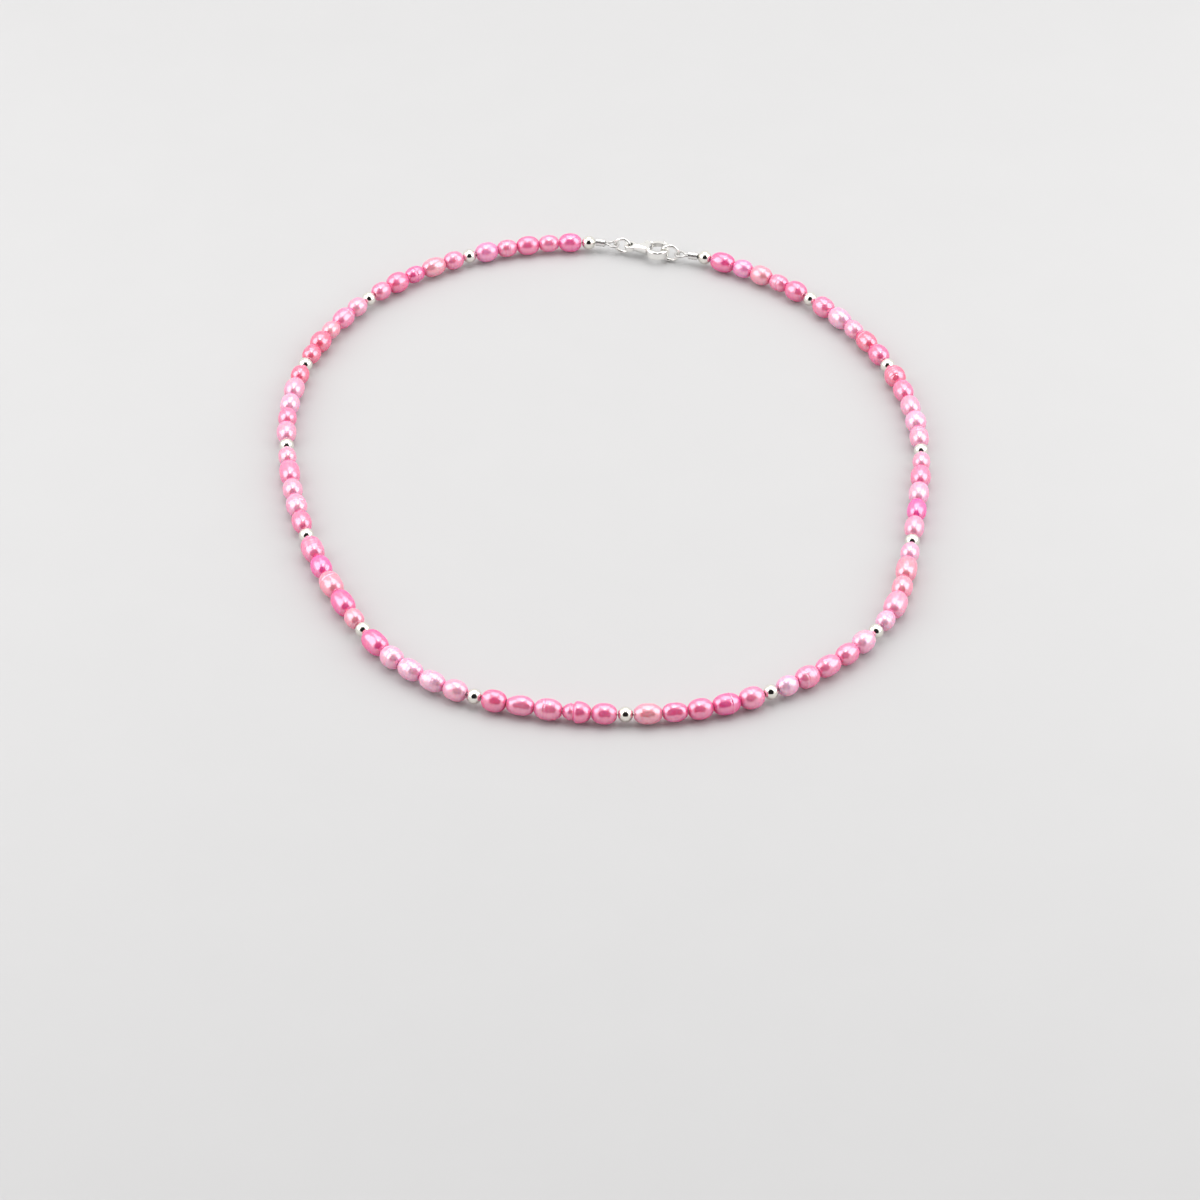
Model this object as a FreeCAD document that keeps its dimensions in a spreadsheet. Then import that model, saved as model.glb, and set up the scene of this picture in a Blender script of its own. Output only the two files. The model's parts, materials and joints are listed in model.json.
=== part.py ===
"""Pearl necklace laid in its closed loop, 45 cm round, about 130 mm wide.

Groups of five freshwater pearls are strung between round silver beads on a beading wire.  The wire
ends in two crimped loops, and a lobster clasp with its jump ring and catch ring closes the necklace.

The loop lies flat.  +X points to the right, +Y from the front bead to the back of the neck, +Z up,
and the origin is under the middle of the loop, on the surface that the pearls lie on.  Lengths are
millimetres and angles are degrees.
"""
import FreeCAD, Part
import Sketcher
import os
from math import acos, atan2, cos, degrees, pi, radians, sin, tan

Vector = FreeCAD.Vector
Rotation = FreeCAD.Rotation
Placement = FreeCAD.Placement

UP = Vector(0, 0, 1)
TOLERANCE = 0.001

# ---------------------------------------------------------------- driving dimensions

SIZES = {
    # pearls: length along the strand and girth
    "seed_length": 4.2, "seed_girth": 3.9,
    "oval_length": 4.8, "oval_girth": 4.4,
    "rice_length": 5.3, "rice_girth": 4.3,
    "barrel_length": 6.0, "barrel_girth": 4.5,
    "double_length": 5.4, "double_girth": 4.4,
    "pearl_bore": 0.7, "pearl_face": 1.5, "pearl_rim_round": 0.35,
    "waist_depth": 0.35, "waist_round": 1.1, "waist_offset": 0.7,
    # silver beads and wire
    "bead_diameter": 3.0, "bead_bore": 0.8,
    "wire_diameter": 0.5, "wire_split": 0.3, "wire_tail_gap": 0.2,
    # the loop's course: where the front bead lies, and the arcs from it up each side
    "front_right": 4.25, "front_forward": 76.13, "front_heading": -1.0,
    "strand_height": 2.25,
    "right_front_radius": 59, "right_front_turn": 56,
    "right_corner_radius": 30, "right_corner_turn": 23,
    "right_side_radius": 380, "right_side_turn": 5.5,
    "right_shoulder_radius": 75, "right_shoulder_turn": 30,
    "left_front_radius": 95, "left_front_turn": 15,
    "left_corner_radius": 43.5, "left_corner_turn": 43.5,
    "left_side_radius": 138, "left_side_turn": 27,
    "left_shoulder_radius": 70, "left_shoulder_turn": 24,
    # crimps, wire loops and rings
    "clasp_span": 22.6,
    "crimp_length": 2.0, "crimp_diameter": 1.6, "crimp_bore": 1.1,
    "eye_radius": 1.0, "eye_side_step": 0.27,
    "ring_wire": 0.7, "link_gap": 0.1,
    "jump_ring_radius": 1.65, "jump_ring_split": 0.06, "saw_width": 2.0,
    "catch_ring_radius": 1.85,
    # lobster clasp
    "claw_radius": 2.7, "claw_inner_radius": 1.8, "claw_thickness": 2.0, "claw_round": 0.4,
    "claw_distance": 6.0,
    "tail_radius": 1.3, "tail_hole": 1.2, "tail_thickness": 1.2,
    "tail_reach": 1.7, "catch_reach": 2.96,
    "neck_start": 0.8, "neck_length": 3.7, "neck_small_radius": 0.8, "neck_large_radius": 1.5,
    "neck_flats_width": 6.0, "cut_height": 3.0, "overcut": 1.0,
    "gate_start": 30, "gate_turn": 105, "gate_reach": 3.22, "gate_gap": 0.06,
    "pivot_angle": 155, "pin_diameter": 0.6, "pin_fit": 0.02, "pin_running_fit": 0.08,
    "lever_thickness": 1.0, "lever_skin": 0.05, "slot_width": 1.12, "slot_radius": 1.0,
    "eye_boss_radius": 0.75, "eye_boss_thickness": 0.65, "spring_clearance": 0.05,
    "tab_length": 1.9, "tab_width": 0.8, "tab_angle": 138,
    "spring_wire": 0.2, "spring_radius": 0.52, "spring_height": 0.36, "spring_leg": 0.6,
}

# The stringing plan: the five pearls of each group, from the front bead round to the back.
LEFT_GROUPS = [
    "oval double rice rice oval",
    "oval rice rice oval barrel",
    "seed barrel barrel rice barrel",
    "rice rice oval barrel seed",
    "rice seed oval rice seed",
    "seed oval seed rice seed",
    "seed oval seed rice seed",
    "oval seed oval seed oval",
]
RIGHT_GROUPS = [
    "rice oval oval rice oval",
    "seed oval rice oval oval",
    "seed barrel oval barrel seed",
    "rice rice rice rice seed",
    "rice oval rice rice oval",
    "oval rice seed rice oval",
    "oval seed oval seed rice",
]

# The drape lines run through the left and the right bead of each of these numbers.
DRAPE_PAIRS = 6

doc = FreeCAD.newDocument("pearl_necklace")
sheet = doc.addObject("Spreadsheet::Sheet", "sizes")
for row, (alias, value) in enumerate(SIZES.items(), start=1):
    sheet.set("A%d" % row, alias)
    sheet.set("B%d" % row, str(value))
    sheet.setAlias("B%d" % row, alias)
doc.recompute()

subparts = []


def size(alias):
    """A driving dimension as the sheet holds it."""
    return float(sheet.get(alias))


def bind(thing, **formulas):
    """Bind properties of an object to formulas over the sheet's cells."""
    for name, formula in formulas.items():
        thing.setExpression(name, formula)
    return thing


def cell(formula):
    """A formula in which every alias is read from the sheet."""
    words = []
    for word in formula.split():
        words.append("sizes." + word if word in SIZES else word)
    return " ".join(words)


def subpart(thing, label):
    thing.Label = label
    subparts.append(thing)
    return thing


# ---------------------------------------------------------------- the loop's course


def arc_end(point, heading, radius, turn):
    """Where an arc to the left ends, and its heading there.  A negative radius and turn go right."""
    new_heading = heading + turn
    end = Vector(
        point.x + radius * (sin(new_heading) - sin(heading)),
        point.y + radius * (cos(heading) - cos(new_heading)),
        point.z,
    )
    return end, new_heading


def side_arcs(side):
    """Radius and turn of each arc from the front bead up one side."""
    stretches = ("front", "corner", "side", "shoulder")
    return [
        (size("%s_%s_radius" % (side, name)), radians(size("%s_%s_turn" % (side, name))))
        for name in stretches
    ]


def closed_course():
    """The loop as arcs to the left, from the front bead round by the right side.

    The last arc of each side is as large as brings both to one point at the back, where the loop
    runs straight across.
    """
    front = Vector(size("front_right"), -size("front_forward"), size("strand_height"))
    heading = radians(size("front_heading"))
    right = side_arcs("right")
    left = side_arcs("left")

    right_end, right_heading = front, heading
    for radius, turn in right:
        right_end, right_heading = arc_end(right_end, right_heading, radius, turn)
    left_end, left_heading = front, heading + pi
    for radius, turn in left:
        left_end, left_heading = arc_end(left_end, left_heading, -radius, -turn)
    left_heading += pi

    right_slope = tan(right_heading / 2)
    left_slope = tan(left_heading / 2)
    back = left_end.x - right_end.x - right_end.y * right_slope + left_end.y * left_slope
    back /= left_slope - right_slope
    right_close = ((back - right_end.y) / (1 + cos(right_heading)), pi - right_heading)
    left_close = ((back - left_end.y) / (1 + cos(left_heading)), left_heading - pi)
    return front, heading, right + [right_close, left_close] + left[::-1]


FRONT, FRONT_HEADING, COURSE = closed_course()
LOOP_LENGTH = sum(radius * turn for radius, turn in COURSE)


def point_on_loop(distance):
    """The point at a distance round the loop from the front bead; negative goes by the left."""
    point, heading = FRONT, FRONT_HEADING
    rest = distance % LOOP_LENGTH
    for radius, turn in COURSE:
        if rest <= radius * turn:
            return arc_end(point, heading, radius, rest / radius)[0]
        point, heading = arc_end(point, heading, radius, turn)
        rest -= radius * turn
    return FRONT


def seat(start, finish):
    """Placement of a piece that lies from one point to another, its own x axis along them."""
    middle = (start + finish) * 0.5
    angle = degrees(atan2(finish.y - start.y, finish.x - start.x))
    return Placement(middle, Rotation(UP, angle))


# ---------------------------------------------------------------- stringing


def strung_length(groups):
    """Length of one side's pearls and silver beads, with half of the front bead."""
    pearls = sum(size(kind + "_length") for group in groups for kind in group.split())
    return pearls + size("bead_diameter") * (len(groups) + 0.5)


def joint_count(groups):
    """Places on one side where a bead meets the next bead or the crimp."""
    return sum(len(group.split()) + 1 for group in groups) + 1


# What the loop has left over is shared out as the slack between neighbours.
SLACK = LOOP_LENGTH - size("clasp_span") - strung_length(LEFT_GROUPS) - strung_length(RIGHT_GROUPS)
SLACK /= joint_count(LEFT_GROUPS) + joint_count(RIGHT_GROUPS)


class Strand:
    """One side of the necklace, measured outwards from the middle of the front bead."""

    def __init__(self, side, groups):
        self.side = side
        self.sign = 1 if side == "right" else -1
        self.groups = groups
        self.pearl_spans = []
        self.bead_middles = [0.0]
        self.joints = [[] for _ in groups]
        reach = size("bead_diameter") / 2
        for number, group in enumerate(groups):
            spans = []
            for kind in group.split():
                self.joints[number].append(reach + SLACK / 2)
                start = reach + SLACK
                reach = start + size(kind + "_length")
                spans.append((kind, start, reach))
            self.joints[number].append(reach + SLACK / 2)
            self.pearl_spans.append(spans)
            self.bead_middles.append(reach + SLACK + size("bead_diameter") / 2)
            reach += SLACK + size("bead_diameter")
        self.end = reach + SLACK

    def point(self, distance):
        return point_on_loop(self.sign * distance)

    def seat(self, start, finish):
        """Seat a piece between two distances, its x axis running to the right round the front."""
        if self.sign > 0:
            return seat(self.point(start), self.point(finish))
        return seat(self.point(finish), self.point(start))


LEFT = Strand("left", LEFT_GROUPS)
RIGHT = Strand("right", RIGHT_GROUPS)


# ---------------------------------------------------------------- pearls


def face_arc_radius(kind):
    """Radius of the arc over a pearl's girth and both of its drilled faces, as a formula."""
    rise = "( {0}_girth - pearl_face ) / 2".format(kind)
    half = "{0}_length / 2".format(kind)
    return cell("( ( %s ) ^ 2 + ( %s ) ^ 2 ) / ( 2 * %s )" % (half, rise, rise))


def plane_of(body, role):
    return [plane for plane in body.Origin.OriginFeatures if plane.Role == role][0]


def new_sketch(body, name):
    sketch = body.newObject("Sketcher::SketchObject", name)
    sketch.AttachmentSupport = (plane_of(body, "XY_Plane"), [""])
    sketch.MapMode = "FlatFace"
    return sketch


def pearl_outline(body, kind):
    """Half of a pearl's section: bore line, drilled faces and two arcs that meet over its middle."""
    half = size(kind + "_length") / 2
    bore = size("pearl_bore") / 2
    face = size("pearl_face") / 2
    girth = size(kind + "_girth") / 2
    sketch = new_sketch(body, "outline_" + kind)
    sketch.addGeometry(Part.LineSegment(Vector(-half, bore), Vector(half, bore)))
    sketch.addGeometry(Part.LineSegment(Vector(half, bore), Vector(half, face)))
    radius = (half ** 2 + (girth - face) ** 2) / (2 * (girth - face))
    circle = Part.Circle(Vector(0, girth - radius), UP, radius)
    reach = atan2(face - girth + radius, half)
    sketch.addGeometry(Part.ArcOfCircle(circle, reach, pi / 2))
    sketch.addGeometry(Part.ArcOfCircle(circle, pi / 2, pi - reach))
    sketch.addGeometry(Part.LineSegment(Vector(-half, face), Vector(-half, bore)))
    rules = [
        ("Coincident", 0, 2, 1, 1), ("Coincident", 1, 2, 2, 1), ("Coincident", 2, 2, 3, 1),
        ("Coincident", 3, 2, 4, 1), ("Coincident", 4, 2, 0, 1), ("Vertical", 1), ("Vertical", 4),
        ("Symmetric", 0, 1, 0, 2, -2), ("Horizontal", 1, 2, 4, 1),
        ("PointOnObject", 2, 2, -2), ("PointOnObject", 2, 3, -2), ("PointOnObject", 3, 3, -2),
    ]
    for rule in rules:
        sketch.addConstraint(Sketcher.Constraint(*rule))
    dimensions = [
        ("DistanceX", kind + "_length", (0, 1, 0, 2), 2 * half),
        ("DistanceY", "pearl_bore / 2", (-1, 1, 0, 1), bore),
        ("DistanceY", "pearl_face / 2", (-1, 1, 1, 2), face),
    ]
    for rule, formula, targets, value in dimensions:
        index = sketch.addConstraint(Sketcher.Constraint(rule, *targets, value))
        sketch.setExpression("Constraints[%d]" % index, cell(formula))
    index = sketch.addConstraint(Sketcher.Constraint("Radius", 2, radius))
    sketch.setExpression("Constraints[%d]" % index, face_arc_radius(kind))
    return sketch


def pearl_body(kind):
    """A bored pearl about its own x axis, its middle at the origin."""
    body = doc.addObject("PartDesign::Body", "pearl_" + kind)
    turned = body.newObject("PartDesign::Revolution", "turned_" + kind)
    outline = pearl_outline(body, kind)
    turned.Profile = outline
    turned.ReferenceAxis = (outline, ["H_Axis"])
    turned.Angle = 360
    doc.recompute()
    rims = [
        "Edge%d" % number
        for number, edge in enumerate(turned.Shape.Edges, start=1)
        if edge.Closed and abs(edge.Curve.Radius - size("pearl_face") / 2) < TOLERANCE
    ]
    rounded = body.newObject("PartDesign::Fillet", "rounded_" + kind)
    rounded.Base = (turned, rims)
    bind(rounded, Radius="sizes.pearl_rim_round")
    body.Tip = rounded
    if kind == "double":
        add_waist(body)
    doc.recompute()
    return body


def add_waist(body):
    """The ring groove between the two lobes of a double pearl."""
    sketch = new_sketch(body, "waist_outline")
    middle = Vector(-size("waist_offset"), size("double_girth") / 2 + size("waist_round"))
    sketch.addGeometry(Part.Circle(middle, UP, size("waist_round")))
    dimensions = [
        ("Radius", "waist_round", (0,), size("waist_round")),
        ("DistanceX", "waist_offset", (0, 3, -1, 1), size("waist_offset")),
        ("DistanceY", "double_girth / 2 + waist_round - waist_depth", (-1, 1, 0, 3), middle.y),
    ]
    for rule, formula, targets, value in dimensions:
        index = sketch.addConstraint(Sketcher.Constraint(rule, *targets, value))
        sketch.setExpression("Constraints[%d]" % index, cell(formula))
    groove = body.newObject("PartDesign::Groove", "waist")
    groove.Profile = sketch
    groove.ReferenceAxis = (sketch, ["H_Axis"])
    groove.Angle = 360
    body.Tip = groove


PEARLS = {kind: pearl_body(kind) for kind in ("seed", "oval", "rice", "barrel", "double")}


def pearl_group(strand, number):
    """Five pearls on the wire between two silver beads."""
    label = "pearls_%s_%d" % (strand.side, number + 1)
    links = []
    for place, (kind, start, finish) in enumerate(strand.pearl_spans[number], start=1):
        link = doc.addObject("App::Link", "%s_pearl_%d" % (label, place))
        link.LinkedObject = PEARLS[kind]
        link.Placement = strand.seat(start, finish)
        links.append(link)
    group = doc.addObject("Part::Compound", label)
    group.Links = links
    subpart(group, label)


for strand in (LEFT, RIGHT):
    for number in range(len(strand.groups)):
        pearl_group(strand, number)

# ---------------------------------------------------------------- silver beads


def cylinder(name, placement, **formulas):
    return bind_primitive("Part::Cylinder", name, placement, formulas)


def bind_primitive(kind, name, placement, formulas):
    """A Part primitive whose sizes are formulas over the sheet."""
    thing = doc.addObject(kind, name)
    thing.Placement = placement
    for prop, formula in formulas.items():
        thing.setExpression(prop, cell(formula))
    return thing


def cut(name, base, tool):
    thing = doc.addObject("Part::Cut", name)
    thing.Base = base
    thing.Tool = tool
    return thing


def common(name, base, tool):
    thing = doc.addObject("Part::Common", name)
    thing.Base = base
    thing.Tool = tool
    return thing


def fuse(name, pieces):
    thing = doc.addObject("Part::MultiFuse", name)
    thing.Shapes = pieces
    return thing


LYING = Rotation(Vector(0, 1, 0), 90)


def silver_bead(label, placement):
    """A round bead, bored along its own x axis."""
    poles = Placement(Vector(0, 0, 0), LYING)
    ball = bind_primitive("Part::Sphere", label + "_ball", poles, {"Radius": "bead_diameter / 2"})
    start = Placement(Vector(-size("bead_diameter"), 0, 0), LYING)
    drill = cylinder(label + "_drill", start, Radius="bead_bore / 2", Height="bead_diameter * 2")
    bead = cut(label, ball, drill)
    bead.Placement = placement
    subpart(bead, label)


def bead_seat(strand, middle):
    half = size("bead_diameter") / 2
    return strand.seat(middle - half, middle + half)


silver_bead("silver_bead_front", bead_seat(RIGHT, 0.0))
for strand in (LEFT, RIGHT):
    for number, middle in enumerate(strand.bead_middles[1:], start=1):
        silver_bead("silver_bead_%s_%d" % (strand.side, number), bead_seat(strand, middle))

# ---------------------------------------------------------------- clasp frame

# The crimps, rings and clasp are pulled straight between the two end beads.  Their own frame
# starts where the left crimp starts, with x towards the right crimp, y outwards and z up.
CLASP_START = LEFT.point(LEFT.end)
CLASP_FINISH = RIGHT.point(RIGHT.end)
CLASP_CHORD = (CLASP_FINISH - CLASP_START).Length
CLASP_FRAME = Placement(
    CLASP_START,
    Rotation(UP, degrees(atan2(CLASP_FINISH.y - CLASP_START.y, CLASP_FINISH.x - CLASP_START.x))),
)

# Each wire loop is a teardrop: an arc away, an arc most of the way round and an arc back.
EYE_RADIUS = size("eye_radius")
EYE_STEP = size("eye_side_step")
EYE_FLARE = acos((EYE_STEP / EYE_RADIUS + 1) / 2)
EYE_MIDDLE = 2 * EYE_RADIUS * sin(EYE_FLARE)
WIRE = size("wire_diameter") / 2
RING_WIRE = size("ring_wire") / 2
LINK = WIRE + size("link_gap") + RING_WIRE

# Places along the clasp frame, counted from the far side of the left wire loop.
JUMP_RING_X = size("jump_ring_radius") - LINK
TAIL_X = JUMP_RING_X + size("tail_reach")
CLAW_X = TAIL_X + size("claw_distance")
CATCH_RING_X = CLAW_X + size("catch_reach")
RIGHT_EYE_X = CATCH_RING_X + size("catch_ring_radius") - LINK
EYE_TO_CRIMP = EYE_RADIUS + EYE_MIDDLE + size("crimp_length")
LEAD = (CLASP_CHORD - 2 * EYE_TO_CRIMP - RIGHT_EYE_X) / 2
EYE_END = EYE_TO_CRIMP + LEAD


def in_clasp(along, aside=0.0, up=0.0, rotation=Rotation()):
    """A placement inside the clasp frame, counted from the far side of the left wire loop."""
    return Placement(Vector(EYE_END + along, aside, up), rotation)


def finish_clasp_piece(thing, label):
    thing.Placement = CLASP_FRAME.multiply(thing.Placement)
    subpart(thing, label)


def crimp(label, start, aside):
    """A short tube that holds the wire and its returned end side by side."""
    place = Placement(Vector(start, aside, 0), LYING)
    outer = cylinder(label + "_outer", place, Radius="crimp_diameter / 2", Height="crimp_length")
    inner = cylinder(label + "_inner", place, Radius="crimp_bore / 2", Height="crimp_length")
    finish_clasp_piece(cut(label, outer, inner), label)


crimp("crimp_left", 0, EYE_STEP)
crimp("crimp_right", CLASP_CHORD - size("crimp_length"), -EYE_STEP)

# ---------------------------------------------------------------- beading wire


def straight(points):
    return [Part.LineSegment(a, b).toShape() for a, b in zip(points, points[1:])]


def sweep_wire(edges):
    """Round wire along straight runs and tangent arcs."""
    path = Part.Wire(edges)
    first = edges[0]
    start = first.valueAt(first.FirstParameter)
    heading = first.tangentAt(first.FirstParameter)
    section = Part.Wire(Part.Circle(start, heading, WIRE).toShape())
    corners_mitred = 1
    return path.makePipeShell([section], True, False, corners_mitred)


def wire_subpart(label, solids):
    thing = doc.addObject("Part::Feature", label)
    thing.Shape = solids[0] if len(solids) == 1 else Part.makeCompound(solids)
    subpart(thing, label)


# The wire is split inside each drape bead, close to the bead's inner end.
WIRE_PAST_BEAD = (size("bead_diameter") - size("wire_split")) / 2


def run_points(strand, inner, outer):
    """Joints from one numbered bead out to another, starting inside the inner bead."""
    points = []
    if inner:
        points.append(strand.point(strand.bead_middles[inner] - WIRE_PAST_BEAD))
    for number in range(inner, outer):
        points += [strand.point(reach) for reach in strand.joints[number]]
    return points


def eye_edges(start, heading, side):
    """The teardrop loop and its returned end, in the loop's plane.

    It starts at the crimp's outer end, runs along the heading and comes back on the given side.
    """
    angle = heading
    point = start
    edges = []

    def go(length):
        nonlocal point
        target = point + Vector(cos(angle), sin(angle), 0) * length
        edges.append(Part.LineSegment(point, target).toShape())
        point = target

    def bend(turn):
        nonlocal point, angle
        radius = EYE_RADIUS if turn > 0 else -EYE_RADIUS
        middle = arc_end(point, angle, radius, turn / 2)[0]
        target, new_angle = arc_end(point, angle, radius, turn)
        edges.append(Part.Arc(point, middle, target).toShape())
        point, angle = target, new_angle

    go(size("crimp_length") + LEAD)
    bend(-side * EYE_FLARE)
    bend(side * (pi + 2 * EYE_FLARE))
    bend(-side * EYE_FLARE)
    go(size("crimp_length") + LEAD - size("wire_tail_gap"))
    return edges


def back_wire(strand, start, target, side):
    points = run_points(strand, DRAPE_PAIRS, len(strand.groups)) + [start]
    heading = atan2(target.y - start.y, target.x - start.x)
    return sweep_wire(straight(points) + eye_edges(start, heading, side))


front_points = run_points(LEFT, 0, 1)[::-1] + run_points(RIGHT, 0, 1)
wire_subpart("wire_front", [sweep_wire(straight(front_points))])
for pair in range(1, DRAPE_PAIRS):
    runs = [sweep_wire(straight(run_points(strand, pair, pair + 1))) for strand in (LEFT, RIGHT)]
    wire_subpart("wire_sides_%d" % pair, runs)
wire_subpart("wire_back_left", [back_wire(LEFT, CLASP_START, CLASP_FINISH, 1)])
wire_subpart("wire_back_right", [back_wire(RIGHT, CLASP_FINISH, CLASP_START, 1)])

# ---------------------------------------------------------------- rings

ON_EDGE = Rotation(Vector(1, 0, 0), 90)


def ring(name, along, aside, radius_formula):
    place = in_clasp(along, aside, 0, ON_EDGE)
    return bind_primitive("Part::Torus", name, place, {"Radius1": radius_formula, "Radius2": "ring_wire / 2"})


jump_ring_whole = ring("jump_ring_whole", JUMP_RING_X, EYE_STEP, "jump_ring_radius")
SAW_REACH = size("saw_width") / 2
split_corner = in_clasp(JUMP_RING_X - size("jump_ring_split") / 2, EYE_STEP - SAW_REACH, SAW_REACH)
jump_ring_saw = bind_primitive(
    "Part::Box", "jump_ring_saw", split_corner,
    {"Length": "jump_ring_split", "Width": "saw_width", "Height": "saw_width"},
)
finish_clasp_piece(cut("jump_ring", jump_ring_whole, jump_ring_saw), "jump_ring")
finish_clasp_piece(ring("catch_ring", CATCH_RING_X, -EYE_STEP, "catch_ring_radius"), "catch_ring")

# ---------------------------------------------------------------- lobster clasp

PIVOT_REACH = (size("claw_radius") + size("claw_inner_radius")) / 2
PIVOT_X = CLAW_X + PIVOT_REACH * cos(radians(size("pivot_angle")))
PIVOT_Y = EYE_STEP + PIVOT_REACH * sin(radians(size("pivot_angle")))


def disc(name, along, aside, bottom, turn=0.0, **formulas):
    """An upright cylinder of the clasp, from a height above or below the strand's middle."""
    place = in_clasp(along, aside, bottom, Rotation(UP, turn))
    return cylinder(name, place, **formulas)


def rounded(name, base, radius):
    """Round every full circular edge of a turned piece."""
    doc.recompute()
    thing = doc.addObject("Part::Fillet", name)
    thing.Base = base
    edges = [
        (number, radius, radius)
        for number, edge in enumerate(base.Shape.Edges, start=1)
        if edge.Closed and isinstance(edge.Curve, Part.Circle)
    ]
    thing.Edges = edges
    return thing


def claw_ring():
    bottom = -size("claw_thickness") / 2
    outer = disc("claw_outer", CLAW_X, EYE_STEP, bottom, Radius="claw_radius", Height="claw_thickness")
    inner = disc("claw_inner", CLAW_X, EYE_STEP, bottom, Radius="claw_inner_radius", Height="claw_thickness")
    return rounded("claw_ring", cut("claw_blank", outer, inner), size("claw_round"))


def tail_disc():
    bottom = -size("tail_thickness") / 2
    blank = disc("tail_blank", TAIL_X, EYE_STEP, bottom, Radius="tail_radius", Height="tail_thickness")
    return rounded("tail_disc", blank, size("claw_round") / 2)


def neck_cone():
    place = in_clasp(TAIL_X + size("neck_start"), EYE_STEP, 0, LYING)
    formulas = {"Radius1": "neck_small_radius", "Radius2": "neck_large_radius", "Height": "neck_length"}
    cone = bind_primitive("Part::Cone", "neck_cone", place, formulas)
    corner = in_clasp(TAIL_X, EYE_STEP - size("neck_flats_width") / 2, -size("claw_thickness") / 2)
    flats = bind_primitive(
        "Part::Box", "neck_flats", corner,
        {"Length": "claw_distance", "Width": "neck_flats_width", "Height": "claw_thickness"},
    )
    return common("neck", cone, flats)


def clasp_openings():
    """The claw's inside, its gate, the tail hole, and the lever's slot and pin hole."""
    low = -size("cut_height") / 2
    inside = disc("claw_inside", CLAW_X, EYE_STEP, low, Radius="claw_inner_radius", Height="cut_height")
    gate_sector = disc(
        "gate_sector", CLAW_X, EYE_STEP, low, size("gate_start"),
        Radius="claw_radius + overcut", Height="cut_height", Angle="gate_turn",
    )
    gate_swing = disc("gate_swing", PIVOT_X, PIVOT_Y, low, Radius="gate_reach", Height="cut_height")
    gate = common("claw_gate", gate_sector, gate_swing)
    tail_hole = disc("tail_hole", TAIL_X, EYE_STEP, low, Radius="tail_hole / 2", Height="cut_height")
    slot = disc(
        "lever_slot", PIVOT_X, PIVOT_Y, -size("slot_width") / 2, Radius="slot_radius", Height="slot_width"
    )
    pin_hole = disc(
        "pin_hole", PIVOT_X, PIVOT_Y, low, Radius="pin_diameter / 2 + pin_fit / 2", Height="cut_height"
    )
    return [inside, gate, tail_hole, slot, pin_hole]


clasp_blank = fuse("clasp_blank", [claw_ring(), neck_cone(), tail_disc()])
clasp_body = cut("clasp_body", clasp_blank, fuse("clasp_openings", clasp_openings()))
finish_clasp_piece(clasp_body, "clasp_body")


def lever():
    """The gate: an arc of the claw on an eye round the pin, with a tab for the thumbnail."""
    bottom = -size("lever_thickness") / 2
    outer = disc(
        "lever_outer", CLAW_X, EYE_STEP, bottom, size("gate_start"),
        Radius="claw_radius - lever_skin", Height="lever_thickness", Angle="pivot_angle - gate_start",
    )
    inner = disc(
        "lever_inner", CLAW_X, EYE_STEP, bottom - size("overcut"),
        Radius="claw_inner_radius + lever_skin", Height="lever_thickness + overcut * 2",
    )
    swing = disc(
        "lever_swing", PIVOT_X, PIVOT_Y, bottom, Radius="gate_reach - gate_gap", Height="lever_thickness"
    )
    arc = common("lever_arc", cut("lever_ring", outer, inner), swing)
    spring_room = disc(
        "spring_room", PIVOT_X, PIVOT_Y, bottom, Radius="eye_boss_radius + spring_clearance",
        Height="lever_thickness",
    )
    boss = disc(
        "lever_boss", PIVOT_X, PIVOT_Y, bottom, Radius="eye_boss_radius + spring_clearance * 2",
        Height="eye_boss_thickness",
    )
    angle = radians(size("tab_angle"))
    tab_x = CLAW_X + size("claw_inner_radius") * cos(angle)
    tab_y = EYE_STEP + size("claw_inner_radius") * sin(angle)
    tab_place = in_clasp(tab_x, tab_y, bottom, Rotation(UP, size("tab_angle")))
    tab = bind_primitive(
        "Part::Box", "lever_tab", tab_place,
        {"Length": "tab_length", "Width": "tab_width", "Height": "lever_thickness"},
    )
    band = cut("lever_band", fuse("lever_arc_and_tab", [arc, tab]), spring_room)
    whole = fuse("lever_whole", [band, boss])
    eye = disc(
        "lever_eye", PIVOT_X, PIVOT_Y, bottom - size("overcut"),
        Radius="pin_diameter / 2 + pin_running_fit / 2", Height="lever_thickness + overcut * 2",
    )
    return cut("clasp_lever", whole, eye)


finish_clasp_piece(lever(), "clasp_lever")
clasp_pin = disc(
    "clasp_pin", PIVOT_X, PIVOT_Y, -size("claw_thickness") / 2, Radius="pin_diameter / 2",
    Height="claw_thickness",
)
finish_clasp_piece(clasp_pin, "clasp_pin")


def torsion_spring():
    """One turn of fine wire round the pin beside the lever's eye, with a leg along the slot."""
    height = size("spring_height")
    coil = bind_primitive(
        "Part::Torus", "spring_coil", in_clasp(PIVOT_X, PIVOT_Y, height),
        {"Radius1": "spring_radius", "Radius2": "spring_wire / 2"},
    )
    leg_place = in_clasp(PIVOT_X - size("spring_radius"), PIVOT_Y, height, Rotation(Vector(1, 0, 0), 90))
    leg = cylinder("spring_leg_wire", leg_place, Radius="spring_wire / 2", Height="spring_leg")
    return fuse("clasp_spring", [coil, leg])


finish_clasp_piece(torsion_spring(), "clasp_spring")

# ---------------------------------------------------------------- checks and export


LEAST_SLACK, MOST_SLACK = 0.05, 0.15
MOST_LEAD = 0.6


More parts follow.
